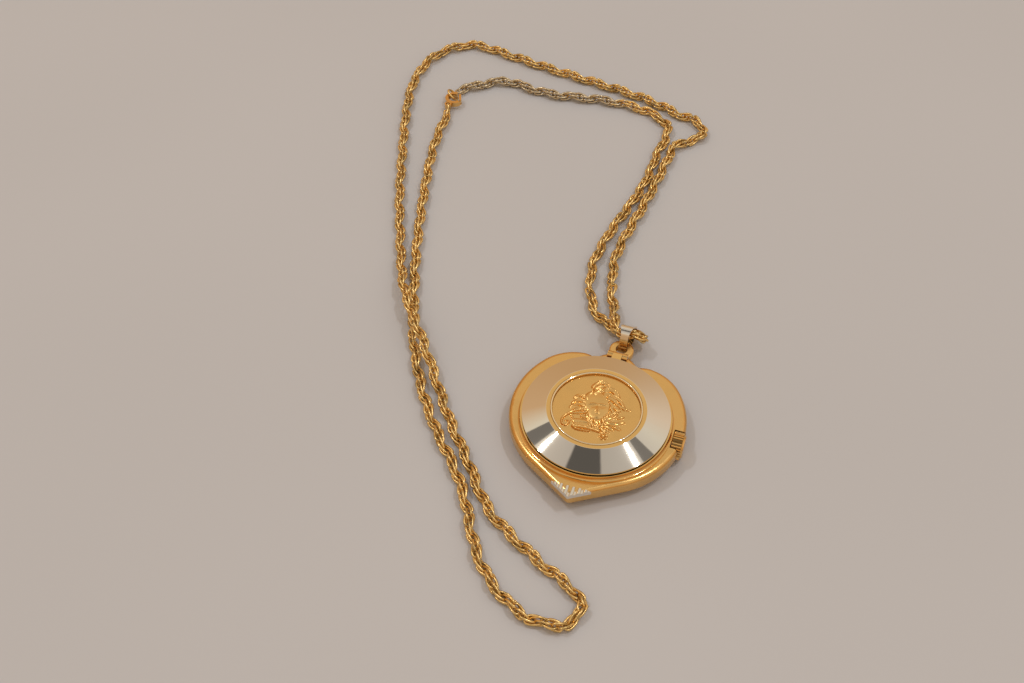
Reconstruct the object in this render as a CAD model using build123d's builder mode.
"""Heart-shaped pendant watch with a hinged round lid on a rope chain, in millimetres.

The origin is the centre of the case back's flat face. +Z goes through the dial and the lid, +Y to
twelve o'clock and +X to the crown. The chain lies on the plane at zero height.
"""
from build123d import *
import math
import os

os.makedirs("parts", exist_ok=True)

# Case, outside
heart_half_width = 16.75
heart_widest_y = 3.6
heart_tip_y = -18.4
heart_flank_x = 8.9
heart_flank_y = -12.9
heart_shoulder_x = 13.6
heart_shoulder_y = 11.5
lobe_top_x = 7.0
lobe_top_y = 15.4
notch_x = 4.3
notch_y = 14.85
neck_top_y = 17.1
tip_round = 1.2
notch_round = 1.4
heart_thick = 3.2
heart_edge_round = 0.9
back_radius = 13.9
back_flat_radius = 10.8
back_rise = 0.95
back_step = 0.35
back_floor = 0.45
bezel_height = 1.2
bezel_foot_radius = 14.75
bezel_lip_radius = 14.35
bezel_lip = 0.3
lid_radius = 14.0
lid_rim_thick = 0.32
lid_cone_rise = 1.5
lid_cone_inner_radius = 9.5
lid_shell = 0.5
lid_gap = 0.25
step_radius = 8.75
medal_radius = 8.25
medal_thick = 0.8
medal_drop = 0.25
relief_height = 0.45
bead_section_radius = 0.2

# Clearances and the overrun of cuts
slide_gap = 0.05
turn_gap = 0.1
free_gap = 0.2
seat_gap = 0.02
overrun = 1.0

# Levels of the outer case, from the flat back upwards
heart_bottom = back_rise + back_step
heart_top = heart_bottom + heart_thick
bezel_top = heart_top + bezel_height
lid_base = bezel_top + lid_gap
lid_rim_top = lid_base + lid_rim_thick
lid_cone_top = lid_rim_top + lid_cone_rise

# Case, inside
snap_wall_radius = 12.9
snap_wall = 0.5
snap_wall_top = 1.75
gasket_section_radius = 0.2
case_bore_radius = snap_wall_radius + slide_gap
gasket_bore_top = snap_wall_top + 2 * gasket_section_radius + slide_gap
movement_bore_radius = 11.9
bezel_flange_radius = 11.0
bezel_flange = 0.5
crystal_radius = 12.15
crystal_dome = 0.25
crystal_wall = 0.65
crystal_ledge_radius = 11.4
lid_liner_radius = 12.2
lid_liner_thick = 0.25

# Hinge of the lid
hinge_y = 15.35
hinge_z = 5.45
hinge_barrel_radius = 0.8
hinge_pin_radius = 0.35
lid_knuckle_width = 1.9
case_knuckle_width = 1.0
hinge_notch_y = 14.2

# Eyelet and bail
eyelet_y = 18.8
eyelet_radius = 2.45
eyelet_hole_radius = 1.2
eyelet_bottom = 2.2
eyelet_height = 1.6
eyelet_round = 0.4
bail_strap = 0.38
bail_top_width = 2.4
bail_foot_width = 1.6
bail_foot_radius = 1.2
bail_foot_y = 20.65
bail_foot_z = 3.0
bail_upper_radius = 1.4
bail_lower_radius = 1.3

# Crown and stem
stem_z = 2.75
crown_radius = 2.6
crown_width = 2.0
crown_start_x = 14.95
crown_flutes = 30
crown_flute_depth = 0.18
crown_dome = 0.3
crown_recess_radius = 2.8
crown_recess_x = 14.8
stem_radius = 0.45
stem_inner_x = 5.0
tube_radius = 0.85

# Movement
movement_radius = 9.9
dial_radius = 11.6
dial_thick = 0.4
plate_thick = 0.8
ring_inner_radius = 9.95
pivot_radius = 0.12


def ring(name, outer, inner, bottom, top):
    """A plain ring or, with no inner radius, a disc."""
    with BuildPart() as piece:
        with BuildSketch(Plane.XY.offset(bottom)):
            Circle(outer)
            if inner:
                Circle(inner, mode=Mode.SUBTRACT)
        extrude(amount=top - bottom)
    piece.part.label = name
    return piece


def turned(name, points):
    """A solid turned about Z from a closed outline of radius and height."""
    with BuildPart() as piece:
        with BuildSketch(Plane.XZ):
            with BuildLine():
                Polyline(*points, close=True)
            make_face()
        revolve(axis=Axis.Z)
    piece.part.label = name
    return piece


def save(piece, name):
    """Labels a finished piece and writes it."""
    piece.part.label = name
    export_step(piece.part, f"parts/{name}.step")


def tooth_points(teeth, tip, root, land_share=0.18, foot_share=0.36):
    """The closed outline of a toothed wheel, four points to a tooth, clockwise from +X."""
    points = []
    pitch = 2 * math.pi / teeth
    for tooth in range(teeth):
        middle = tooth * pitch
        for radius, turn in ((root, -foot_share), (tip, -land_share),
                             (tip, land_share), (root, foot_share)):
            angle = middle + turn * pitch / 2
            points.append((radius * math.cos(angle), radius * math.sin(angle)))
    return points


def wheel(centre, teeth, tip, root, bottom, thick, hole, rim=0, hub=0, arms=0, arm_width=0):
    """A toothed wheel on a centre, solid or, with arms, crossed out between its rim and hub."""
    with BuildPart() as piece:
        with BuildSketch(Plane.XY.offset(bottom)):
            with Locations(centre):
                with BuildLine():
                    Polyline(*[(centre[0] + x, centre[1] + y) for x, y in tooth_points(teeth, tip, root)],
                             close=True)
                make_face()
            if arms:
                with Locations(centre):
                    Circle(root - rim, mode=Mode.SUBTRACT)
                    Circle(hub)
                with Locations(centre):
                    with PolarLocations(0, arms):
                        Rectangle(root - rim / 2, arm_width, align=(Align.MIN, Align.CENTER))
            with Locations(centre):
                Circle(hole, mode=Mode.SUBTRACT)
        extrude(amount=thick)
    return piece


# Heart case: outline of the right half, mirrored, with the eyelet on its neck
def heart_outline():
    """The heart's outline as lines and tangent arcs from the tip up to the neck and back."""
    with BuildLine() as half:
        flank = Line((0, heart_tip_y), (heart_flank_x, heart_flank_y))
        side = TangentArc(flank @ 1, (heart_half_width, heart_widest_y), tangent=flank % 1)
        shoulder = TangentArc(side @ 1, (heart_shoulder_x, heart_shoulder_y), tangent=side % 1)
        lobe = TangentArc(shoulder @ 1, (lobe_top_x, lobe_top_y), tangent=shoulder % 1)
        notch = TangentArc(lobe @ 1, (notch_x, notch_y), tangent=lobe % 1)
        mirror(half.line, about=Plane.YZ)
        ThreePointArc((notch_x, notch_y), (0, neck_top_y), (-notch_x, notch_y))
    return half


with BuildPart() as heart_case:
    with BuildSketch(Plane.XY.offset(heart_bottom)) as heart_sketch:
        add(heart_outline().line)
        make_face()
    extrude(amount=heart_thick)
    corners = heart_case.edges().filter_by(Axis.Z).sort_by(Axis.Y)
    fillet(corners[0], radius=tip_round)
    notches = heart_case.edges().filter_by(Axis.Z).filter_by(
        lambda edge: abs(edge.center().Y - notch_y) < slide_gap)
    fillet(notches, radius=notch_round)
    outer_edges = heart_case.faces().filter_by(Axis.Z).edges()
    fillet(outer_edges, radius=heart_edge_round)
    # boss that the case back closes, and the neck's eyelet
    with BuildSketch(Plane.XY.offset(back_rise)):
        Circle(back_radius)
    extrude(amount=back_step + heart_edge_round)
    with BuildSketch(Plane.XY.offset(eyelet_bottom)):
        with Locations((0, eyelet_y)):
            Circle(eyelet_radius)
    extrude(amount=eyelet_height)
    eyelet_edges = heart_case.edges().filter_by(GeomType.CIRCLE).filter_by(
        lambda edge: abs(edge.radius - eyelet_radius) < slide_gap and edge.center().Y > neck_top_y)
    fillet(eyelet_edges, radius=eyelet_round)
    with BuildSketch(Plane.XY.offset(eyelet_bottom - overrun)):
        with Locations((0, eyelet_y)):
            Circle(eyelet_hole_radius)
    extrude(amount=eyelet_height + 2 * overrun, mode=Mode.SUBTRACT)
    # bores for the back, the gasket and the movement
    with BuildSketch(Plane.XY.offset(back_rise - overrun)):
        Circle(case_bore_radius)
    extrude(amount=overrun + gasket_bore_top - back_rise, mode=Mode.SUBTRACT)
    with BuildSketch(Plane.XY.offset(gasket_bore_top - overrun)):
        Circle(movement_bore_radius)
    extrude(amount=heart_top - gasket_bore_top + 2 * overrun, mode=Mode.SUBTRACT)
    # recess for the crown and the bore of its tube
    with BuildSketch(Plane.YZ.offset(crown_recess_x)):
        with Locations((0, stem_z)):
            Circle(crown_recess_radius)
    extrude(amount=heart_half_width, mode=Mode.SUBTRACT)
    with BuildSketch(Plane.YZ):
        with Locations((0, stem_z)):
            Circle(tube_radius)
    extrude(amount=heart_half_width, mode=Mode.SUBTRACT)
    # hinge seat: the two case knuckles on a foot behind the bezel's notch
    for side in (-1, 1):
        middle_x = side * (lid_knuckle_width / 2 + slide_gap + case_knuckle_width / 2)
        with BuildSketch(Plane.YZ.offset(middle_x - case_knuckle_width / 2)):
            with Locations((hinge_y, hinge_z)):
                Circle(hinge_barrel_radius)
            with Locations((hinge_y, (hinge_z + heart_top) / 2 - heart_edge_round / 2)):
                Rectangle(2 * hinge_barrel_radius, hinge_z - heart_top + heart_edge_round)
            with Locations((hinge_y, hinge_z)):
                Circle(hinge_pin_radius, mode=Mode.SUBTRACT)
        extrude(amount=case_knuckle_width)
save(heart_case, "heart_case")

# White-metal crescent of cut flutes, clasped over the heart's point
facet_count = 8
facet_half_width = 4.6
facet_top_y = -16.2
facet_proud = 0.12
flute_radius = 0.42
with BuildPart() as tip_facets:
    with BuildSketch(Plane.XY.offset(heart_top - heart_edge_round)) as crescent:
        add(heart_outline().line)
        make_face()
        offset(amount=facet_proud, kind=Kind.INTERSECTION)
        with Locations((0, facet_top_y + heart_half_width)):
            Rectangle(4 * heart_half_width, 2 * heart_half_width, mode=Mode.SUBTRACT)
        with Locations((0, facet_top_y + facet_half_width)):
            Circle(facet_half_width + facet_proud, mode=Mode.SUBTRACT)
    extrude(amount=heart_edge_round + facet_proud)
    flute_step = 2 * facet_half_width / facet_count
    for flute in range(facet_count + 1):
        flute_x = (flute - facet_count / 2) * flute_step
        with BuildSketch(Plane.XZ.offset(-facet_top_y - facet_half_width)):
            with Locations((flute_x, heart_top + facet_proud + flute_radius / 2)):
                Circle(flute_radius, mode=Mode.ADD)
        extrude(amount=facet_half_width * 2, mode=Mode.SUBTRACT)
    add(heart_case.part, mode=Mode.SUBTRACT)
save(tip_facets, "tip_facets")

# Case back, snapped into the case, and its gasket
case_back = turned("case_back", [
    (0, 0), (back_flat_radius, 0), (back_radius, back_rise - seat_gap * 2),
    (snap_wall_radius, back_rise - seat_gap), (snap_wall_radius, snap_wall_top),
    (snap_wall_radius - snap_wall, snap_wall_top), (snap_wall_radius - snap_wall, back_rise),
    (back_flat_radius, back_floor), (0, back_floor)])
save(case_back, "case_back")
gasket_middle_radius = case_bore_radius - gasket_section_radius - slide_gap
with BuildPart() as case_gasket:
    with BuildSketch(Plane.XZ):
        with Locations((gasket_middle_radius, snap_wall_top + gasket_section_radius + slide_gap / 2)):
            Circle(gasket_section_radius)
    revolve(axis=Axis.Z)
save(case_gasket, "case_gasket")

# Bezel ring with its cove, and the domed crystal seated in it
crystal_seat_z = heart_top + bezel_flange
with BuildPart() as crystal_bezel:
    with BuildSketch(Plane.XZ):
        with BuildLine():
            foot = Line((bezel_flange_radius, heart_top), (bezel_foot_radius, heart_top))
            toe = Line(foot @ 1, (bezel_foot_radius, heart_top + bezel_lip))
            cove_points = [toe @ 1, (bezel_lip_radius + seat_gap, heart_top + bezel_height / 2),
                           (bezel_lip_radius, bezel_top - bezel_lip)]
            cove = ThreePointArc(*cove_points)
            Polyline(cove @ 1, (bezel_lip_radius, bezel_top), (crystal_radius + slide_gap, bezel_top),
                     (crystal_radius + slide_gap, crystal_seat_z), (bezel_flange_radius, crystal_seat_z),
                     foot @ 0)
        make_face()
    revolve(axis=Axis.Z)
    notch_half_width = lid_knuckle_width / 2 + slide_gap + case_knuckle_width + turn_gap
    with BuildSketch(Plane.XY.offset(heart_top - overrun)):
        with Locations((0, hinge_notch_y)):
            Rectangle(2 * notch_half_width, bezel_foot_radius, align=(Align.CENTER, Align.MIN))
    extrude(amount=bezel_height + 2 * overrun, mode=Mode.SUBTRACT)
save(crystal_bezel, "crystal_bezel")
crystal_base = crystal_seat_z + seat_gap
crystal_top = bezel_top
with BuildPart() as crystal:
    with BuildSketch(Plane.XZ):
        with BuildLine():
            base = Line((crystal_ledge_radius, crystal_base), (crystal_radius, crystal_base))
            wall = Line(base @ 1, (crystal_radius, crystal_top - crystal_dome))
            dome = TangentArc((0, crystal_top), wall @ 1, tangent=(1, 0))
            axis_line = Line(dome @ 0, (0, crystal_top - crystal_wall + crystal_dome / 2))
            TangentArc(axis_line @ 1, base @ 0, tangent=(1, 0))
        make_face()
    revolve(axis=Axis.Z)
save(crystal, "crystal")

# Dial with its raised hour marks
dial_base = heart_top - dial_thick
centre_hole_radius = 0.8
dial = ring("dial", dial_radius, centre_hole_radius, dial_base, heart_top - seat_gap)
save(dial, "dial")
mark_length = 1.6
mark_width = 0.36
mark_height = 0.1
mark_outer_radius = 10.4
with BuildPart() as dial_markers:
    with BuildSketch(Plane.XY.offset(heart_top - seat_gap)):
        with PolarLocations(mark_outer_radius - mark_length / 2, 12):
            Rectangle(mark_length, mark_width)
        with PolarLocations(mark_outer_radius - mark_length / 2, 4):
            Rectangle(mark_length, 2 * mark_width)
    extrude(amount=mark_height)
save(dial_markers, "dial_markers")

# Lid: shell with its cone, step ring and knuckle tongue; medallion, bead, liner
shell_slope = lid_shell * 1.1
with BuildPart() as lid_shell_part:
    with BuildSketch(Plane.XZ):
        with BuildLine():
            Polyline((lid_liner_radius + slide_gap, lid_base), (lid_radius, lid_base),
                     (lid_radius, lid_rim_top), (lid_cone_inner_radius, lid_cone_top),
                     (step_radius, lid_cone_top), (step_radius, lid_cone_top - medal_drop),
                     (medal_radius + slide_gap, lid_cone_top - medal_drop),
                     (medal_radius + slide_gap, lid_cone_top - medal_drop - medal_thick),
                     (step_radius, lid_cone_top - medal_drop - medal_thick),
                     (lid_cone_inner_radius, lid_cone_top - shell_slope),
                     (lid_liner_radius + slide_gap, lid_base + lid_liner_thick + lid_shell / 2),
                     close=True)
        make_face()
    revolve(axis=Axis.Z)
save(lid_shell_part, "lid_shell")
medal_top = lid_cone_top - medal_drop
with BuildPart() as medal_rim:
    with BuildSketch(Plane.XZ):
        with Locations((medal_radius + slide_gap + bead_section_radius, medal_top + bead_section_radius)):
            Circle(bead_section_radius)
    revolve(axis=Axis.Z)
save(medal_rim, "medallion_rim")
lid_liner = ring("lid_liner", lid_liner_radius, 0, lid_base + seat_gap, lid_base + lid_liner_thick)
save(lid_liner, "lid_liner")
with BuildPart() as lid_knuckle:
    with BuildSketch(Plane.YZ.offset(-lid_knuckle_width / 2)):
        with Locations((hinge_y, hinge_z)):
            Circle(hinge_barrel_radius)
        with BuildLine():
            Polyline((hinge_y, hinge_z), (hinge_y, hinge_z + hinge_barrel_radius),
                     (lid_liner_radius + overrun, hinge_z + hinge_barrel_radius),
                     (lid_liner_radius + overrun, bezel_top + turn_gap),
                     (hinge_notch_y + turn_gap, bezel_top + turn_gap), close=True)
        make_face()
        with Locations((hinge_y, hinge_z)):
            Circle(hinge_pin_radius + seat_gap, mode=Mode.SUBTRACT)
    extrude(amount=lid_knuckle_width)
    add(lid_shell_part.part, mode=Mode.SUBTRACT)
save(lid_knuckle, "lid_knuckle")
pin_length = lid_knuckle_width + 2 * (slide_gap + case_knuckle_width)
with BuildPart() as hinge_pin:
    with BuildSketch(Plane.YZ.offset(-pin_length / 2)):
        with Locations((hinge_y, hinge_z)):
            Circle(hinge_pin_radius)
    extrude(amount=pin_length)
save(hinge_pin, "hinge_pin")

# Medallion: a plain field with a raised bearded head, its curls, and a leaf spray at each side
head_length = 5.4
head_width = 4.2
head_tilt = -18
head_x = 0.4
head_y = 0.9
curl_radius = 0.62
curl_count = 11
leaf_length = 2.2
leaf_width = 0.8
leaf_count = 4
relief_taper = 40
medal_base = medal_top - medal_thick
with BuildPart() as medallion:
    with BuildSketch(Plane.XY.offset(medal_base)):
        Circle(medal_radius)
    extrude(amount=medal_thick)
    with BuildSketch(Plane.XY.offset(medal_top)):
        with Locations(Location((head_x, head_y), head_tilt)):
            Ellipse(head_width / 2, head_length / 2)
    extrude(amount=relief_height, taper=relief_taper)
    with BuildSketch(Plane.XY.offset(medal_top)):
        with Locations(Location((head_x - head_width / 4, head_y - head_length * 0.55), head_tilt)):
            Ellipse(head_width / 3, head_length / 4)
    extrude(amount=relief_height * 0.8, taper=relief_taper)
    with BuildSketch(Plane.XY.offset(medal_top)):
        for curl in range(curl_count):
            angle = math.radians(head_tilt - 40 + 230 * curl / (curl_count - 1))
            curl_x = head_x + (head_width / 2 + curl_radius / 3) * math.cos(angle)
            curl_y = head_y + (head_length / 2 + curl_radius / 3) * math.sin(angle)
            with Locations((curl_x, curl_y)):
                Circle(curl_radius)
    extrude(amount=relief_height * 0.7)
    for side in (-1, 1):
        with BuildSketch(Plane.XY.offset(medal_top)):
            for leaf in range(leaf_count):
                angle = 90 + side * (62 + 22 * leaf)
                spray_radius = medal_radius - leaf_width * 2
                leaf_x = spray_radius * math.cos(math.radians(angle))
                leaf_y = spray_radius * math.sin(math.radians(angle))
                with Locations(Location((leaf_x, leaf_y), angle + 90 - side * 20)):
                    Ellipse(leaf_length / 2, leaf_width / 2)
        extrude(amount=relief_height / 2)
save(medallion, "medallion")

# Crown, its tube, the stem with its square, and the two pinions on it
crown_end_x = crown_start_x + crown_width
stem_end_x = crown_start_x + crown_width / 2
with BuildPart() as crown:
    with BuildSketch(Plane.YZ.offset(crown_start_x)):
        with Locations((0, stem_z)):
            with BuildLine():
                Polyline(*[(x, y + stem_z) for x, y in
                           tooth_points(crown_flutes, crown_radius, crown_radius - crown_flute_depth,
                                        land_share=0.4, foot_share=0.75)], close=True)
            make_face()
    extrude(amount=crown_width)
    rim_edges = crown.faces().filter_by(Axis.X).edges()
    chamfer(rim_edges, length=crown_flute_depth / 2)
    with BuildSketch(Plane.YZ.offset(crown_end_x)):
        with Locations((0, stem_z)):
            Circle(crown_radius - 2 * crown_flute_depth)
    extrude(amount=crown_dome, taper=30)
    with BuildSketch(Plane.YZ.offset(crown_start_x)):
        with Locations((0, stem_z)):
            Circle(stem_radius + seat_gap)
    extrude(amount=stem_end_x - crown_start_x + seat_gap, mode=Mode.SUBTRACT)
save(crown, "crown")
tube_inner_x = case_bore_radius + slide_gap
with BuildPart() as crown_tube:
    with BuildSketch(Plane.YZ.offset(tube_inner_x)):
        with Locations((0, stem_z)):
            Circle(tube_radius)
            Circle(stem_radius + slide_gap, mode=Mode.SUBTRACT)
    extrude(amount=crown_recess_x - tube_inner_x)
save(crown_tube, "crown_tube")
with BuildPart() as stem:
    with BuildSketch(Plane.YZ.offset(stem_inner_x)):
        with Locations((0, stem_z)):
            Circle(stem_radius)
    extrude(amount=stem_end_x - stem_inner_x)
save(stem, "stem")
winding_pinion_x = 7.4
winding_pinion_width = 0.85
winding_pinion_radius = 1.3
winding_teeth = 14
sliding_pinion_x = 6.1
sliding_pinion_width = 1.1
sliding_pinion_radius = 0.9


def stem_pinion(start_x, width, radius, teeth):
    """A pinion that turns on the stem's axis."""
    with BuildPart() as piece:
        with BuildSketch(Plane.YZ.offset(start_x)):
            with BuildLine():
                Polyline(*[(x, y + stem_z) for x, y in tooth_points(teeth, radius, radius * 0.8)],
                         close=True)
            make_face()
            with Locations((0, stem_z)):
                Circle(stem_radius + slide_gap, mode=Mode.SUBTRACT)
        extrude(amount=width)
    return piece


winding_pinion = stem_pinion(winding_pinion_x, winding_pinion_width, winding_pinion_radius, winding_teeth)
save(winding_pinion, "winding_pinion")
sliding_pinion = stem_pinion(sliding_pinion_x, sliding_pinion_width, sliding_pinion_radius, winding_teeth)
save(sliding_pinion, "sliding_pinion")

# Movement: places of the arbors and the levels of each layer
barrel_centre = (2.3, -3.98)
third_centre = (-3.77, 0.66)
fourth_centre = (-2.94, 3.74)
escape_centre = (-0.05, 4.79)
pallet_centre = (2.6, 5.5)
balance_centre = (4.9, 4.2)
crown_wheel_centre = (6.5, -1.2)
motion_centre = (1.2, -2.08)
winding_bottom = back_floor + 0.4
winding_thick = 0.25
bridge_bottom = winding_bottom + winding_thick + turn_gap
bridge_thick = 0.45
bridge_top = bridge_bottom + bridge_thick
barrel_bottom = bridge_top + turn_gap
barrel_height = 1.15
barrel_top = barrel_bottom + barrel_height
plate_top = dial_base
plate_bottom = plate_top - plate_thick
barrel_radius = 3.95
barrel_wall = 0.25
barrel_floor = 0.2
wheel_thick = 0.15
arbor_radius = 0.15
centre_arbor_radius = 0.25
centre_wheel_bottom = barrel_top + turn_gap
fourth_wheel_bottom = 2.5
escape_wheel_bottom = 2.05
pillar_radius = 0.8
screw_head_radius = 0.55
screw_head_thick = 0.25

main_plate_pocket = 0.6
motion_pocket_radius = 2.05
setting_slot_half = 1.45
setting_slot_x = 5.25
with BuildPart() as main_plate:
    with BuildSketch(Plane.XY.offset(plate_bottom)):
        Circle(movement_radius)
        Circle(centre_arbor_radius + turn_gap, mode=Mode.SUBTRACT)
        with Locations(third_centre, fourth_centre, escape_centre, pallet_centre, balance_centre):
            Circle(arbor_radius + slide_gap, mode=Mode.SUBTRACT)
        with Locations(barrel_centre):
            Circle(arbor_radius * 3 + slide_gap, mode=Mode.SUBTRACT)
        with Locations((setting_slot_x, 0)):
            Rectangle(movement_radius, 2 * setting_slot_half, align=(Align.MIN, Align.CENTER),
                      mode=Mode.SUBTRACT)
    extrude(amount=plate_thick)
    with BuildSketch(Plane.XY.offset(plate_top - main_plate_pocket)):
        Circle(motion_pocket_radius + turn_gap)
        with Locations(motion_centre):
            Circle(motion_pocket_radius)
    extrude(amount=main_plate_pocket + overrun, mode=Mode.SUBTRACT)
    with BuildSketch(Plane.XY.offset(plate_top - main_plate_pocket)):
        with Locations(motion_centre):
            Circle(arbor_radius)
    extrude(amount=main_plate_pocket)
save(main_plate, "main_plate")

with BuildPart() as movement_ring:
    with BuildSketch(Plane.XY.offset(winding_bottom)):
        Circle(movement_bore_radius - slide_gap)
        Circle(ring_inner_radius, mode=Mode.SUBTRACT)
    extrude(amount=dial_base - winding_bottom - seat_gap)
    with BuildSketch(Plane.YZ):
        with Locations((0, stem_z)):
            Circle(stem_radius + free_gap)
    extrude(amount=movement_bore_radius + overrun, mode=Mode.SUBTRACT)
save(movement_ring, "movement_ring")


def bridge(bottom, thick, spots, feet, foot_radius, foot_top):
    """A flat bridge round the given spots of place and radius, on round feet up to the plate."""
    with BuildPart() as piece:
        with BuildSketch(Plane.XY.offset(bottom)):
            for place, radius in spots:
                with Locations(place):
                    Circle(radius)
            make_hull()
            Circle(movement_radius, mode=Mode.INTERSECT)
        extrude(amount=thick)
        with BuildSketch(Plane.XY.offset(bottom + thick)):
            with Locations(*feet):
                Circle(foot_radius)
        extrude(amount=foot_top - bottom - thick)
    return piece


def drill(piece, places, radius):
    """The same bridge with a hole at each place."""
    with BuildPart() as drilled:
        add(piece.part)
        with BuildSketch(Plane.XY):
            with Locations(*places):
                Circle(radius)
        extrude(amount=plate_bottom - seat_gap, mode=Mode.SUBTRACT)
    return drilled


foot_top = plate_bottom
barrel_feet = ((-3.5, -7.2), (7.6, -4.6))
train_feet = ((-7.9, -1.0), (-5.9, 6.9))
cock_foot = (7.8, 3.0)
cock_foot_radius = 0.6
pallet_foot = (3.7, 8.3)
barrel_bridge_radius = 3.2
crown_wheel_teeth = 21
ratchet_teeth = 30
winding_module = 0.1975
crown_wheel_radius = crown_wheel_teeth * winding_module / 2
ratchet_radius = ratchet_teeth * winding_module / 2
contrate_width = 0.35
contrate_top = stem_z - winding_pinion_radius - slide_gap
barrel_arbor_radius = 0.5
plain_bridge = bridge(bridge_bottom, bridge_thick,
                      [(barrel_centre, barrel_bridge_radius), (crown_wheel_centre, crown_wheel_radius / 2),
                       (barrel_feet[0], pillar_radius), (barrel_feet[1], pillar_radius)],
                      barrel_feet, pillar_radius, foot_top)
with BuildPart() as barrel_bridge:
    add(plain_bridge.part)
    with BuildSketch(Plane.XY.offset(bridge_bottom - overrun)):
        with Locations(crown_wheel_centre):
            Circle(crown_wheel_radius + free_gap)
            Circle(crown_wheel_radius - contrate_width - free_gap, mode=Mode.SUBTRACT)
    extrude(amount=overrun + contrate_top + slide_gap - bridge_bottom, mode=Mode.SUBTRACT)
    with BuildSketch(Plane.XY.offset(bridge_bottom - overrun)):
        with Locations((winding_pinion_x - turn_gap, 0)):
            Rectangle(movement_radius, 2 * setting_slot_half, align=(Align.MIN, Align.CENTER))
    extrude(amount=overrun + bridge_thick, mode=Mode.SUBTRACT)
    with BuildSketch(Plane.XY):
        with Locations(barrel_centre):
            Circle(barrel_arbor_radius + slide_gap)
    extrude(amount=bridge_top + overrun, mode=Mode.SUBTRACT)
save(barrel_bridge, "barrel_bridge")
jewel_radius = 0.45
jewel_thick = 0.2
train_bridge = drill(bridge(bridge_bottom, bridge_thick,
                            [((0, 0), pillar_radius), (train_feet[0], pillar_radius),
                             (train_feet[1], pillar_radius), (escape_centre, pillar_radius)],
                            train_feet, pillar_radius, foot_top),
                     [(0, 0), third_centre, fourth_centre, escape_centre], jewel_radius)
save(train_bridge, "train_bridge")
cock_bottom = winding_bottom + turn_gap
cock_thick = 0.35
balance_cock = drill(bridge(cock_bottom, cock_thick,
                            [(balance_centre, pillar_radius), (cock_foot, pillar_radius)],
                            [cock_foot], cock_foot_radius, foot_top), [balance_centre], jewel_radius)
save(balance_cock, "balance_cock")
pallet_bridge_thick = 0.14
pallet_bridge_bottom = 2.08
pallet_bridge = bridge(pallet_bridge_bottom, pallet_bridge_thick,
                       [(pallet_centre, jewel_radius), (pallet_foot, pillar_radius)], [pallet_foot],
                       cock_foot_radius, foot_top)
save(pallet_bridge, "pallet_bridge")
with BuildPart() as jewels:
    for place, bottom in (((0, 0), bridge_bottom), (third_centre, bridge_bottom),
                          (fourth_centre, bridge_bottom), (escape_centre, bridge_bottom),
                          (balance_centre, cock_bottom)):
        with BuildSketch(Plane.XY.offset(bottom + slide_gap)):
            with Locations(place):
                Circle(jewel_radius - seat_gap / 2)
                Circle(centre_arbor_radius + slide_gap if place == (0, 0) else pivot_radius + seat_gap,
                       mode=Mode.SUBTRACT)
        extrude(amount=jewel_thick)
save(jewels, "jewels")
with BuildPart() as bridge_screws:
    for place, top in ((barrel_feet[0], bridge_bottom), (barrel_feet[1], bridge_bottom),
                       (train_feet[0], bridge_bottom), (train_feet[1], bridge_bottom),
                       (cock_foot, cock_bottom)):
        with BuildSketch(Plane.XY.offset(top - screw_head_thick)):
            with Locations(place):
                Circle(screw_head_radius)
        extrude(amount=screw_head_thick)
        with BuildSketch(Plane.XY.offset(top - screw_head_thick)):
            with Locations(place):
                Rectangle(screw_head_radius * 2.2, screw_head_radius / 4)
        extrude(amount=screw_head_thick / 2, mode=Mode.SUBTRACT)
save(bridge_screws, "bridge_screws")

# Winding works: ratchet and crown wheel, arbor, barrel with its spring and cover, click
ratchet_wheel = wheel(barrel_centre, ratchet_teeth, ratchet_radius + slide_gap, ratchet_radius - free_gap,
                      winding_bottom, winding_thick, barrel_arbor_radius + seat_gap)
save(ratchet_wheel, "ratchet_wheel")
with BuildPart() as crown_wheel:
    add(wheel(crown_wheel_centre, crown_wheel_teeth, crown_wheel_radius + slide_gap,
              crown_wheel_radius - free_gap, winding_bottom, winding_thick, arbor_radius * 2).part)
    with BuildSketch(Plane.XY.offset(winding_bottom + winding_thick)):
        with Locations(crown_wheel_centre):
            Circle(crown_wheel_radius - free_gap)
            Circle(crown_wheel_radius - contrate_width, mode=Mode.SUBTRACT)
    extrude(amount=contrate_top - winding_bottom - winding_thick - slide_gap)
save(crown_wheel, "crown_wheel")
with BuildPart() as barrel_arbor:
    for radius, bottom, top in ((barrel_arbor_radius, winding_bottom, barrel_bottom + barrel_floor),
                                (2 * barrel_arbor_radius * 0.9,
                                 barrel_bottom + barrel_floor + slide_gap / 2,
                                 barrel_top - barrel_floor - slide_gap / 2),
                                (barrel_arbor_radius, barrel_bottom, barrel_top),
                                (arbor_radius * 3, barrel_top, plate_top)):
        with BuildSketch(Plane.XY.offset(bottom)):
            with Locations(barrel_centre):
                Circle(radius)
        extrude(amount=top - bottom)
save(barrel_arbor, "barrel_arbor")
barrel_teeth = 80
barrel_module = 0.102
barrel_tooth_radius = barrel_teeth * barrel_module / 2
with BuildPart() as barrel:
    with BuildSketch(Plane.XY.offset(barrel_bottom)):
        with Locations(barrel_centre):
            Circle(barrel_radius)
    extrude(amount=barrel_height - barrel_floor)
    with BuildSketch(Plane.XY.offset(barrel_bottom + barrel_floor)):
        with Locations(barrel_centre):
            Circle(barrel_radius - barrel_wall)
    extrude(amount=barrel_height, mode=Mode.SUBTRACT)
    add(wheel(barrel_centre, barrel_teeth, barrel_tooth_radius + barrel_module,
              barrel_tooth_radius - barrel_module, barrel_top - barrel_floor * 2, barrel_floor,
              barrel_radius - barrel_wall).part)
    with BuildSketch(Plane.XY.offset(barrel_bottom - overrun)):
        with Locations(barrel_centre):
            Circle(barrel_arbor_radius + slide_gap)
    extrude(amount=overrun + barrel_height, mode=Mode.SUBTRACT)
save(barrel, "barrel")
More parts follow.
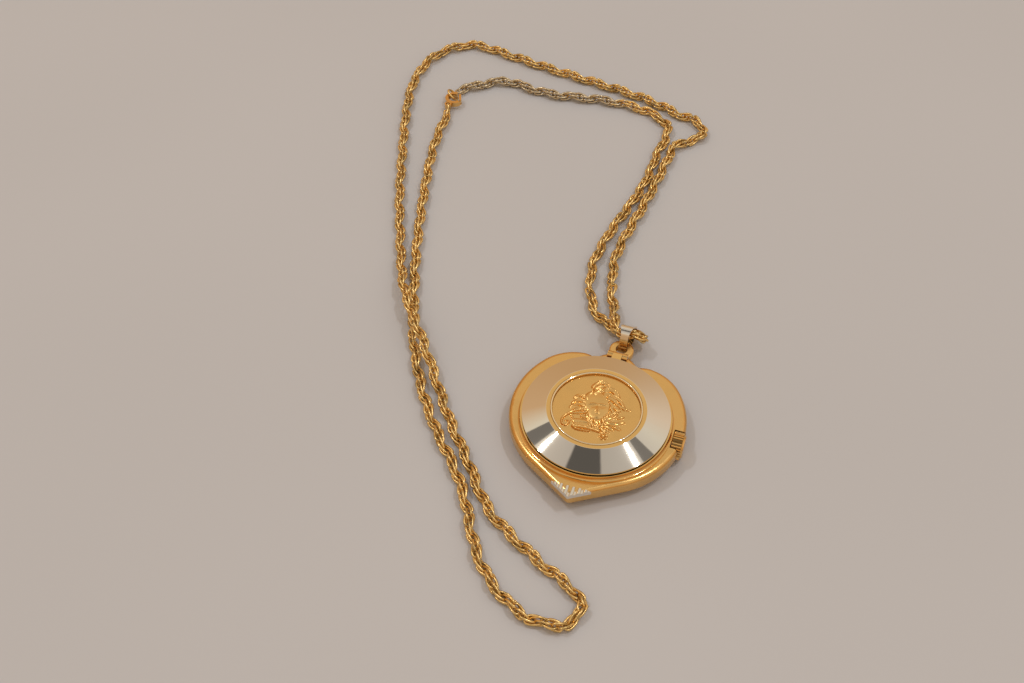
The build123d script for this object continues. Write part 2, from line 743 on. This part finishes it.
with BuildPart() as barrel_cover:
    with BuildSketch(Plane.XY.offset(barrel_top - barrel_floor)):
        with Locations(barrel_centre):
            Circle(barrel_radius)
            Circle(barrel_arbor_radius + slide_gap, mode=Mode.SUBTRACT)
    extrude(amount=barrel_floor - seat_gap)
save(barrel_cover, "barrel_cover")


def spiral(name, centre, inner, outer, turns, band, bottom, height):
    """A flat coiled strip between two radii, from evenly turned points."""
    steps = 24 * turns
    edge = []
    for side in (1, -1):
        count = range(steps + 1) if side == 1 else range(steps, -1, -1)
        for step in count:
            radius = inner + (outer - inner) * step / steps + side * band / 2
            angle = 2 * math.pi * step / 24
            edge.append((centre[0] + radius * math.cos(angle), centre[1] + radius * math.sin(angle)))
    with BuildPart() as piece:
        with BuildSketch(Plane.XY.offset(bottom)):
            with BuildLine():
                Polyline(*edge, close=True)
            make_face()
        extrude(amount=height)
    save(piece, name)


mainspring_band = 0.14
mainspring_turns = 7
spiral("mainspring", barrel_centre, barrel_arbor_radius * 2 + free_gap,
       barrel_radius - barrel_wall - free_gap,
       mainspring_turns, mainspring_band, barrel_bottom + barrel_floor + slide_gap,
       barrel_height - 2 * barrel_floor - 2 * slide_gap)
click_pivot = (-1.2, -5.2)
click_length = 1.05
click_spring_band = 0.14
with BuildPart() as click:
    with BuildSketch(Plane.XY.offset(winding_bottom)):
        with Locations(click_pivot):
            Circle(arbor_radius * 2)
        with Locations((click_pivot[0] + click_length * 0.35, click_pivot[1] + click_length * 0.72)):
            Circle(arbor_radius * 0.8)
        make_hull()
    extrude(amount=winding_thick)
save(click, "click")
with BuildPart() as click_spring:
    with BuildSketch(Plane.XY.offset(winding_bottom)):
        with BuildLine():
            wire = Polyline((click_pivot[0] - click_length * 0.6, click_pivot[1] + click_length * 0.9),
                            (click_pivot[0] - click_length * 0.9, click_pivot[1] - click_length * 0.2),
                            (click_pivot[0] - click_length * 0.1, click_pivot[1] - click_length * 1.1))
            offset(amount=click_spring_band / 2, side=Side.BOTH)
        make_face()
    extrude(amount=winding_thick)
save(click_spring, "click_spring")

# Going train: each wheel has its crossed-out rim, its pinion and its arbor in one piece
centre_module = 0.085
third_module = 0.075
fourth_module = 0.07
centre_teeth = 80
third_teeth = 75
fourth_teeth = 80
pinion_leaves = 10
escape_leaves = 8
rim_width = 0.35
arm_width = 0.3


def train_wheel(name, centre, teeth, module, wheel_bottom, pinion_module, leaves, pinion_bottom,
                pinion_top, arbor, arbor_bottom, arbor_top):
    """A wheel and its pinion on one arbor."""
    pitch_radius = teeth * module / 2
    pinion_radius = leaves * pinion_module / 2
    with BuildPart() as piece:
        add(wheel(centre, teeth, pitch_radius + module * 0.9, pitch_radius - module, wheel_bottom,
                  wheel_thick, arbor / 2, rim_width, pinion_radius + pinion_module * 2, 5, arm_width).part)
        add(wheel(centre, leaves, pinion_radius + pinion_module * 0.8, pinion_radius - pinion_module,
                  pinion_bottom, pinion_top - pinion_bottom, arbor / 2).part)
        with BuildSketch(Plane.XY.offset(arbor_bottom)):
            with Locations(centre):
                Circle(arbor)
        extrude(amount=arbor_top - arbor_bottom)
    save(piece, name)


arbor_foot = bridge_bottom + slide_gap
centre_wheel_top = centre_wheel_bottom + wheel_thick
third_wheel_bottom = barrel_bottom
cannon_bottom = plate_top - main_plate_pocket + slide_gap
motion_thick = 0.23
hour_wheel_bottom = cannon_bottom + motion_thick + slide_gap
hand_thick = 0.08
hand_gap = 0.12
hour_hand_bottom = heart_top + hand_gap
minute_hand_bottom = hour_hand_bottom + hand_thick + hand_gap
cannon_top = minute_hand_bottom + hand_thick
cannon_tube_radius = 0.4
hour_tube_radius = 0.7
train_wheel("centre_wheel", (0, 0), centre_teeth, centre_module, centre_wheel_bottom, barrel_module,
            pinion_leaves, centre_wheel_bottom - barrel_floor * 2.4, centre_wheel_bottom,
            centre_arbor_radius, arbor_foot, cannon_top - hand_thick)
train_wheel("third_wheel", third_centre, third_teeth, third_module, third_wheel_bottom, centre_module,
            pinion_leaves, centre_wheel_bottom - slide_gap, centre_wheel_top + slide_gap, pivot_radius,
            arbor_foot, plate_top - free_gap)
train_wheel("fourth_wheel", fourth_centre, fourth_teeth, fourth_module, fourth_wheel_bottom, third_module,
            pinion_leaves, third_wheel_bottom - slide_gap, third_wheel_bottom + wheel_thick + slide_gap,
            pivot_radius, arbor_foot, plate_top - free_gap)

escape_teeth = 15
escape_radius = 2.1
with BuildPart() as escape_wheel:
    with BuildSketch(Plane.XY.offset(escape_wheel_bottom)):
        with Locations(escape_centre):
            Circle(escape_radius * 0.78)
            Circle(escape_radius * 0.6, mode=Mode.SUBTRACT)
            Circle(escape_leaves * fourth_module)
        with Locations(escape_centre):
            with PolarLocations(0, 4):
                Rectangle(escape_radius * 0.7, arm_width * 0.7, align=(Align.MIN, Align.CENTER))
        with BuildLine():
            tooth_edge = []
            for tooth in range(escape_teeth):
                for radius_share, turn in ((0.76, 0), (1.0, 0.3), (1.0, 0.38), (0.76, 0.42)):
                    angle = 2 * math.pi * (tooth + turn) / escape_teeth
                    tooth_edge.append((escape_centre[0] + escape_radius * radius_share * math.cos(angle),
                                       escape_centre[1] + escape_radius * radius_share * math.sin(angle)))
            Polyline(*tooth_edge, close=True)
            with Locations(escape_centre):
                CenterArc(escape_centre, escape_radius * 0.7, 0, 360)
        make_face()
    extrude(amount=wheel_thick)
    escape_pitch = escape_leaves * fourth_module / 2
    add(wheel(escape_centre, escape_leaves, escape_pitch + fourth_module * 0.8,
              escape_pitch - fourth_module,
              fourth_wheel_bottom - slide_gap, wheel_thick + 2 * slide_gap, pivot_radius / 2).part)
    with BuildSketch(Plane.XY.offset(arbor_foot)):
        with Locations(escape_centre):
            Circle(pivot_radius)
    extrude(amount=plate_top - free_gap - arbor_foot)
save(escape_wheel, "escape_wheel")

# Escapement: pallet fork with its two stones, balance with roller and pin, hairspring
fork_bottom = 2.35
fork_length = 2.05
fork_width = 0.24
stone_length = 0.85
stone_width = 0.22
stone_spread = 55
escape_direction = math.degrees(math.atan2(escape_centre[1] - pallet_centre[1],
                                           escape_centre[0] - pallet_centre[0]))
balance_direction = math.degrees(math.atan2(balance_centre[1] - pallet_centre[1],
                                            balance_centre[0] - pallet_centre[0]))
with BuildPart() as pallet_fork:
    with BuildSketch(Plane.XY.offset(fork_bottom)):
        with Locations(pallet_centre):
            Circle(arbor_radius * 2)
        with Locations(Location(pallet_centre, balance_direction)):
            Rectangle(fork_length, fork_width, align=(Align.MIN, Align.CENTER))
        for side in (-1, 1):
            with Locations(Location(pallet_centre, escape_direction + side * stone_spread)):
                Rectangle(stone_length, fork_width, align=(Align.MIN, Align.CENTER))
    extrude(amount=wheel_thick)
    with BuildSketch(Plane.XY.offset(escape_wheel_bottom)):
        for side in (-1, 1):
            with Locations(Location(pallet_centre, escape_direction + side * stone_spread)):
                with Locations((stone_length - stone_width / 2, 0)):
                    Rectangle(stone_width, stone_width)
    extrude(amount=fork_bottom - escape_wheel_bottom)
    with BuildSketch(Plane.XY.offset(pallet_bridge_bottom + pallet_bridge_thick + seat_gap)):
        with Locations(pallet_centre):
            Circle(pivot_radius)
    extrude(amount=plate_top - free_gap - pallet_bridge_bottom - pallet_bridge_thick)
save(pallet_fork, "pallet_fork")
balance_radius = 2.4
balance_rim = 0.35
balance_bottom = 1.7
balance_thick = 0.3
roller_radius = 0.5
roller_bottom = 2.15
roller_pin_radius = 0.07
with BuildPart() as balance_wheel:
    with BuildSketch(Plane.XY.offset(balance_bottom)):
        with Locations(balance_centre):
            Circle(balance_radius)
            Circle(balance_radius - balance_rim, mode=Mode.SUBTRACT)
            Rectangle(2 * balance_radius - balance_rim, balance_rim)
            Circle(balance_rim)
    extrude(amount=balance_thick)
    with BuildSketch(Plane.XY.offset(roller_bottom)):
        with Locations(balance_centre):
            Circle(roller_radius)
    extrude(amount=turn_gap)
    with BuildSketch(Plane.XY.offset(roller_bottom)):
        with Locations(balance_centre):
            with Locations((-roller_radius * 0.75, 0)):
                Circle(roller_pin_radius)
    extrude(amount=fork_bottom - roller_bottom)
    with BuildSketch(Plane.XY.offset(cock_bottom + slide_gap)):
        with Locations(balance_centre):
            Circle(pivot_radius)
    extrude(amount=plate_top - free_gap - cock_bottom)
save(balance_wheel, "balance_wheel")
hairspring_inner = 0.35
hairspring_outer = 1.9
hairspring_turns = 4
hairspring_band = 0.09
spiral("hairspring", balance_centre, hairspring_inner, hairspring_outer, hairspring_turns, hairspring_band,
       cock_bottom + cock_thick + turn_gap, turn_gap)

# Motion works under the dial, and the hands
motion_module = 0.1
hour_module = 0.096
cannon_teeth = 12
minute_wheel_teeth = 36
minute_pinion_teeth = 10
hour_wheel_teeth = 40


def tooth_radii(teeth, module):
    """Tip and root radius of a wheel."""
    return teeth * module / 2 + module * 0.8, teeth * module / 2 - module


with BuildPart() as cannon_pinion:
    cannon_tip, cannon_root = tooth_radii(cannon_teeth, motion_module)
    add(wheel((0, 0), cannon_teeth, cannon_tip, cannon_root, cannon_bottom, motion_thick,
              centre_arbor_radius + seat_gap).part)
    with BuildSketch(Plane.XY.offset(cannon_bottom)):
        Circle(cannon_tube_radius)
        Circle(centre_arbor_radius + seat_gap, mode=Mode.SUBTRACT)
    extrude(amount=cannon_top - cannon_bottom)
save(cannon_pinion, "cannon_pinion")
with BuildPart() as hour_wheel:
    hour_tip, hour_root = tooth_radii(hour_wheel_teeth, hour_module)
    add(wheel((0, 0), hour_wheel_teeth, hour_tip, hour_root, hour_wheel_bottom, motion_thick,
              cannon_tube_radius + slide_gap).part)
    with BuildSketch(Plane.XY.offset(hour_wheel_bottom)):
        Circle(hour_tube_radius)
        Circle(cannon_tube_radius + slide_gap, mode=Mode.SUBTRACT)
    extrude(amount=hour_hand_bottom + hand_thick - hour_wheel_bottom)
save(hour_wheel, "hour_wheel")
with BuildPart() as minute_wheel:
    motion_tip, motion_root = tooth_radii(minute_wheel_teeth, motion_module)
    leaf_tip, leaf_root = tooth_radii(minute_pinion_teeth, hour_module)
    add(wheel(motion_centre, minute_wheel_teeth, motion_tip, motion_root, cannon_bottom, motion_thick,
              arbor_radius + slide_gap).part)
    add(wheel(motion_centre, minute_pinion_teeth, leaf_tip, leaf_root, hour_wheel_bottom - slide_gap,
              plate_top - hour_wheel_bottom - slide_gap, arbor_radius + slide_gap).part)
save(minute_wheel, "minute_wheel")


def hand(name, bottom, length, tail, width, hole, boss, heading):
    """A leaf-shaped hand with its boss, pointing at a heading in degrees from +X."""
    with BuildPart() as piece:
        with BuildSketch(Plane.XY.offset(bottom)):
            with BuildLine():
                leaf = Polyline((-tail, width / 4), (length * 0.35, width / 2), (length, 0),
                                (length * 0.35, -width / 2), (-tail, -width / 4), close=True)
            make_face()
            Circle(boss)
            Circle(hole, mode=Mode.SUBTRACT)
        extrude(amount=hand_thick)
    turned_hand = piece.part.rotate(Axis.Z, heading)
    turned_hand.label = name
    export_step(turned_hand, f"parts/{name}.step")


hour_hand_length = 6.2
minute_hand_length = 9.2
hour_hand_heading = 150
minute_hand_heading = 30
hand_tail = 1.6
hour_hand_width = 0.9
minute_hand_width = 0.7
hand("hour_hand", hour_hand_bottom, hour_hand_length, hand_tail, hour_hand_width,
     hour_tube_radius + seat_gap, hour_tube_radius * 1.5, hour_hand_heading)
hand("minute_hand", minute_hand_bottom, minute_hand_length, hand_tail, minute_hand_width,
     cannon_tube_radius + seat_gap, cannon_tube_radius * 2, minute_hand_heading)

# Keyless works: yoke and setting lever beside the sliding pinion
lever_thick = 0.3
lever_bottom = plate_bottom - lever_thick - slide_gap
yoke_pivot = (8.4, -2.9)
yoke_tip = (7.0, -1.15)
setting_pivot = (9.1, -2.0)
setting_tip = (9.2, -0.85)
for name, pivot, tip in (("yoke", yoke_pivot, yoke_tip), ("setting_lever", setting_pivot, setting_tip)):
    with BuildPart() as lever:
        with BuildSketch(Plane.XY.offset(lever_bottom)):
            with Locations(pivot):
                Circle(arbor_radius * 2.4)
            with Locations(tip):
                Circle(arbor_radius)
            make_hull()
        extrude(amount=lever_thick)
    save(lever, name)

# Bail: a strap looped through the eyelet and round both strands of the chain
bail_upper = (22.0, 4.9)
bail_lower = (25.2, 1.7)
with BuildPart() as bail:
    with BuildSketch(Plane.YZ.offset(-bail_top_width / 2)):
        for grow, kind in ((bail_strap, Mode.ADD), (0, Mode.SUBTRACT)):
            with BuildSketch(mode=Mode.PRIVATE) as loop:
                for place, radius in (((bail_foot_y, bail_foot_z), bail_foot_radius),
                                      (bail_upper, bail_upper_radius), (bail_lower, bail_lower_radius)):
                    with Locations(place):
                        Circle(radius + grow)
                make_hull()
            add(loop.sketch, mode=kind)
    extrude(amount=bail_top_width)
    side_cut = (bail_top_width - bail_foot_width) / 2
    for side in (-1, 1):
        with BuildSketch(Plane.XY.offset(-overrun)):
            with BuildLine():
                Polyline((side * bail_foot_width / 2, bail_foot_y),
                         (side * bail_top_width / 2, bail_upper[0]),
                         (side * bail_top_width, bail_upper[0]),
                         (side * bail_top_width, bail_foot_y - 2 * bail_foot_radius),
                         (side * bail_foot_width / 2, bail_foot_y - 2 * bail_foot_radius), close=True)
            make_face()
        extrude(amount=bail_upper[1] + bail_lower[1] + 2 * overrun, mode=Mode.SUBTRACT)
save(bail, "bail")

# Chain: a plain tube along straight runs joined by tangent arcs, in three stretches
chain_diameter = 2.2
lay_z = 1.15
long_route = [
    (-59.65, 80.35, lay_z), (-59.5, 74.0, lay_z), (-58.0, 64.0, lay_z), (-54.0, 48.0, lay_z),
    (-49.0, 31.0, lay_z), (-44.5, 19.0, lay_z), (-42.5, 13.0, lay_z), (-39.5, 7.0, lay_z),
    (-35.5, -0.5, lay_z), (-29.0, -9.5, lay_z), (-22.5, -16.5, lay_z), (-18.5, -22.0, lay_z),
    (-15.5, -27.5, lay_z), (-12.0, -33.5, lay_z), (-6.5, -39.0, lay_z), (0.0, -42.3, lay_z),
    (5.0, -42.3, lay_z), (8.2, -40.2, lay_z), (8.5, -36.6, lay_z), (5.3, -34.0, lay_z),
    (0.5, -32.0, lay_z), (-6.0, -28.5, lay_z), (-12.5, -24.5, lay_z), (-16.5, -20.0, lay_z),
    (-20.5, -14.5, lay_z), (-26.5, -7.5, lay_z), (-32.5, 1.0, lay_z), (-37.5, 7.5, 3.7),
    (-47.0, 20.0, 3.7), (-51.5, 29.5, 1.5), (-54.5, 36.5, lay_z), (-60.0, 49.5, lay_z),
    (-65.0, 64.0, lay_z), (-69.5, 77.5, lay_z), (-72.5, 89.5, lay_z), (-71.5, 101.0, lay_z),
    (-64.0, 109.0, lay_z), (-54.0, 107.0, lay_z), (-40.5, 104.5, lay_z), (-26.5, 102.5, lay_z),
    (-17.5, 101.0, lay_z), (-11.0, 99.0, lay_z), (-6.5, 97.0, lay_z), (-2.5, 96.5, lay_z),
    (0.0, 94.0, lay_z), (0.0, 90.3, lay_z), (-2.6, 88.2, lay_z), (-5.2, 86.0, lay_z),
    (-5.5, 81.5, lay_z), (-6.0, 73.0, lay_z), (-7.0, 62.0, lay_z), (-8.5, 51.0, lay_z),
    (-8.5, 43.0, lay_z), (-7.0, 37.5, lay_z)]
bail_route = [
    (-7.0, 37.5, lay_z), (-5.95, 33.65, lay_z), (-4.2, 29.4, 2.5), (-3.4, 25.3, 4.6),
    (-2.0, 22.0, 4.9), (3.2, 22.0, 4.9), (3.2, 25.2, 1.7), (-2.0, 25.2, 1.7),
    (-6.2, 26.9, 1.25), (-9.8, 31.0, lay_z), (-11.0, 35.0, lay_z)]
short_route = [
    (-11.0, 35.0, lay_z), (-12.5, 40.0, lay_z), (-12.5, 46.5, lay_z), (-11.5, 54.5, lay_z),
    (-9.5, 64.0, lay_z), (-8.2, 73.0, lay_z), (-8.4, 82.5, lay_z), (-7.5, 88.0, lay_z),
    (-8.3, 92.5, lay_z), (-11.5, 95.0, lay_z), (-17.0, 97.0, lay_z), (-26.5, 97.0, lay_z),
    (-37.0, 95.0, lay_z), (-44.0, 95.5, lay_z), (-50.0, 97.0, lay_z), (-54.3, 94.4, lay_z),
    (-57.2, 92.2, lay_z), (-59.9, 89.7, lay_z)]
corner_share = 0.45


def corner_radii(route):
    """The largest arc that each corner's two runs allow."""
    radii = []
    for before, here, after in zip(route, route[1:], route[2:]):
        arriving = Vector(*here) - Vector(*before)
        leaving = Vector(*after) - Vector(*here)
        turn = math.radians(arriving.get_angle(leaving))
        radii.append(corner_share * min(arriving.length, leaving.length) / math.tan(turn / 2))
    return radii


for name, route in (("chain_long_run", long_route), ("chain_bail_run", bail_route),
                    ("chain_short_run", short_route)):
    with BuildPart() as chain:
        with BuildLine() as path:
            FilletPolyline(*route, radius=corner_radii(route))
        with BuildSketch(Plane(origin=path.line @ 0, z_dir=path.line % 0)):
            Circle(chain_diameter / 2)
        sweep()
    save(chain, name)
    path_length = sum(edge.length for edge in path.edges())
    tube_volume = math.pi * chain_diameter ** 2 / 4 * path_length
    print(name, "length", round(path_length, 1), "volume over section times length",
          round(chain.part.volume / tube_volume, 4))
    print("radii", [round(radius, 1) for radius in corner_radii(route)])

# Claw clasp: hook with its eye, sprung lever and pin, and the two rings that the chain ends in
claw_centre = (-60.0, 85.3)
claw_outer_radius = 2.15
claw_inner_radius = 1.4
claw_bottom = 0.8
claw_thick = 1.2
claw_gap_from = -15
claw_gap_to = 84
claw_eye_angle = 257
claw_eye_distance = 2.75
claw_eye_radius = 0.8
claw_eye_hole = 0.42
lever_width = 0.55
lever_tip_angle = 57
claw_bracket_angle = -45
lever_pin_radius = 0.18
claw_middle_radius = (claw_outer_radius + claw_inner_radius) / 2


def on_claw(radius, angle):
    """A point at a radius and an angle in degrees round the claw's centre."""
    return (claw_centre[0] + radius * math.cos(math.radians(angle)),
            claw_centre[1] + radius * math.sin(math.radians(angle)))


lever_pivot = on_claw(claw_middle_radius, claw_gap_from)
lever_tip = on_claw(claw_middle_radius, lever_tip_angle)
claw_eye = on_claw(claw_eye_distance, claw_eye_angle)
with BuildPart() as clasp_body:
    with BuildSketch(Plane.XY.offset(claw_bottom)):
        with Locations(claw_centre):
            Circle(claw_outer_radius)
        with Locations(claw_eye):
            Circle(claw_eye_radius)
        with Locations(claw_centre):
            Circle(claw_inner_radius, mode=Mode.SUBTRACT)
        with Locations(claw_eye):
            Circle(claw_eye_hole, mode=Mode.SUBTRACT)
        with BuildLine():
            Polyline(claw_centre, on_claw(2 * claw_outer_radius, claw_gap_from),
                     on_claw(3 * claw_outer_radius, (claw_gap_from + claw_gap_to) / 2),
                     on_claw(2 * claw_outer_radius, claw_gap_to), close=True)
        make_face(mode=Mode.SUBTRACT)
        with Locations(lever_pivot):
            Circle(lever_width, mode=Mode.SUBTRACT)
    extrude(amount=claw_thick)
    with BuildSketch(Plane.XY.offset(claw_bottom)):
        with BuildLine():
            Line(on_claw(claw_middle_radius, claw_bracket_angle), lever_pivot)
            offset(amount=lever_width * 0.6, side=Side.BOTH)
        make_face()
    extrude(amount=claw_thick / 4)
    with BuildSketch(Plane.XY.offset(claw_bottom)):
        with Locations(lever_pivot):
            Circle(lever_pin_radius)
    extrude(amount=claw_thick)
save(clasp_body, "clasp_body")
with BuildPart() as clasp_lever:
    with BuildSketch(Plane.XY.offset(claw_bottom + claw_thick / 4 + slide_gap)):
        with BuildLine():
            Line(lever_pivot, lever_tip)
            offset(amount=lever_width / 2, side=Side.BOTH)
        make_face()
        with Locations(lever_pivot):
            Circle(lever_pin_radius + seat_gap, mode=Mode.SUBTRACT)
    extrude(amount=claw_thick * 0.75 - slide_gap)
save(clasp_lever, "clasp_lever")

claw_middle_z = claw_bottom + claw_thick / 2
hook_ring_radius = 1.5
hook_ring_section = 0.28
hook_ring_heading = 120
hook_ring_lean = 45
eye_ring_radius = 1.1
eye_ring_section = 0.22
eye_ring_lean = 0
hook_ring_centre = on_claw(claw_middle_radius, hook_ring_heading)
eye_ring_heading = math.degrees(math.atan2(long_route[0][1] - claw_eye[1], long_route[0][0] - claw_eye[0]))
eye_ring_reach = 0.9 * eye_ring_radius
eye_ring_centre = (claw_eye[0] + eye_ring_reach * math.cos(math.radians(eye_ring_heading)),
                   claw_eye[1] + eye_ring_reach * math.sin(math.radians(eye_ring_heading)))


def wire_ring(centre, radius, section, heading, lean):
    """A ring of round wire that stands in line with a heading and leans over towards the table."""
    upright = math.cos(math.radians(lean))
    across = (upright * math.sin(math.radians(heading)), -upright * math.cos(math.radians(heading)),
              math.sin(math.radians(lean)))
    with BuildPart() as wire:
        with Locations(Plane(origin=(centre[0], centre[1], claw_middle_z), z_dir=across)):
            Torus(radius, section)
    return wire


save(wire_ring(hook_ring_centre, hook_ring_radius, hook_ring_section, hook_ring_heading, hook_ring_lean),
     "chain_ring")
save(wire_ring(eye_ring_centre, eye_ring_radius, eye_ring_section, eye_ring_heading, eye_ring_lean),
     "clasp_ring")
